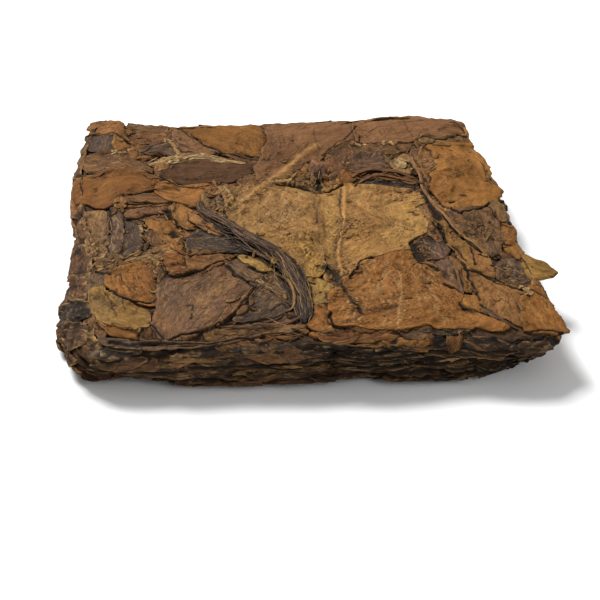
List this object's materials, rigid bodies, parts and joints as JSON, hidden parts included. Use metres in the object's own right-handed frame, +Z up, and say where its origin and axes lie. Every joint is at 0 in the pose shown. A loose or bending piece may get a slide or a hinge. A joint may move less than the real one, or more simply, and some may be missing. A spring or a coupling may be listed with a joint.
{
  "type": "white tea cake",
  "caption": "Square slab of large dry tea leaves pressed together, with torn leaf edges, a curved stem and ragged layered sides.",
  "frame": {"origin": "on the floor under the middle of the slab's box", "axes": "+X to the right along the front edge of the face, +Y to its back edge, +Z up out of the pressed face"},
  "size_m": [0.1214, 0.1188, 0.0157],
  "materials": {
    "pressed_leaf": "dry, matt pressed tea leaf in browns, ochres and near black"
  },
  "bodies": {
    "root": {"tea_cake": "pressed_leaf"}
  },
  "joints": []
}
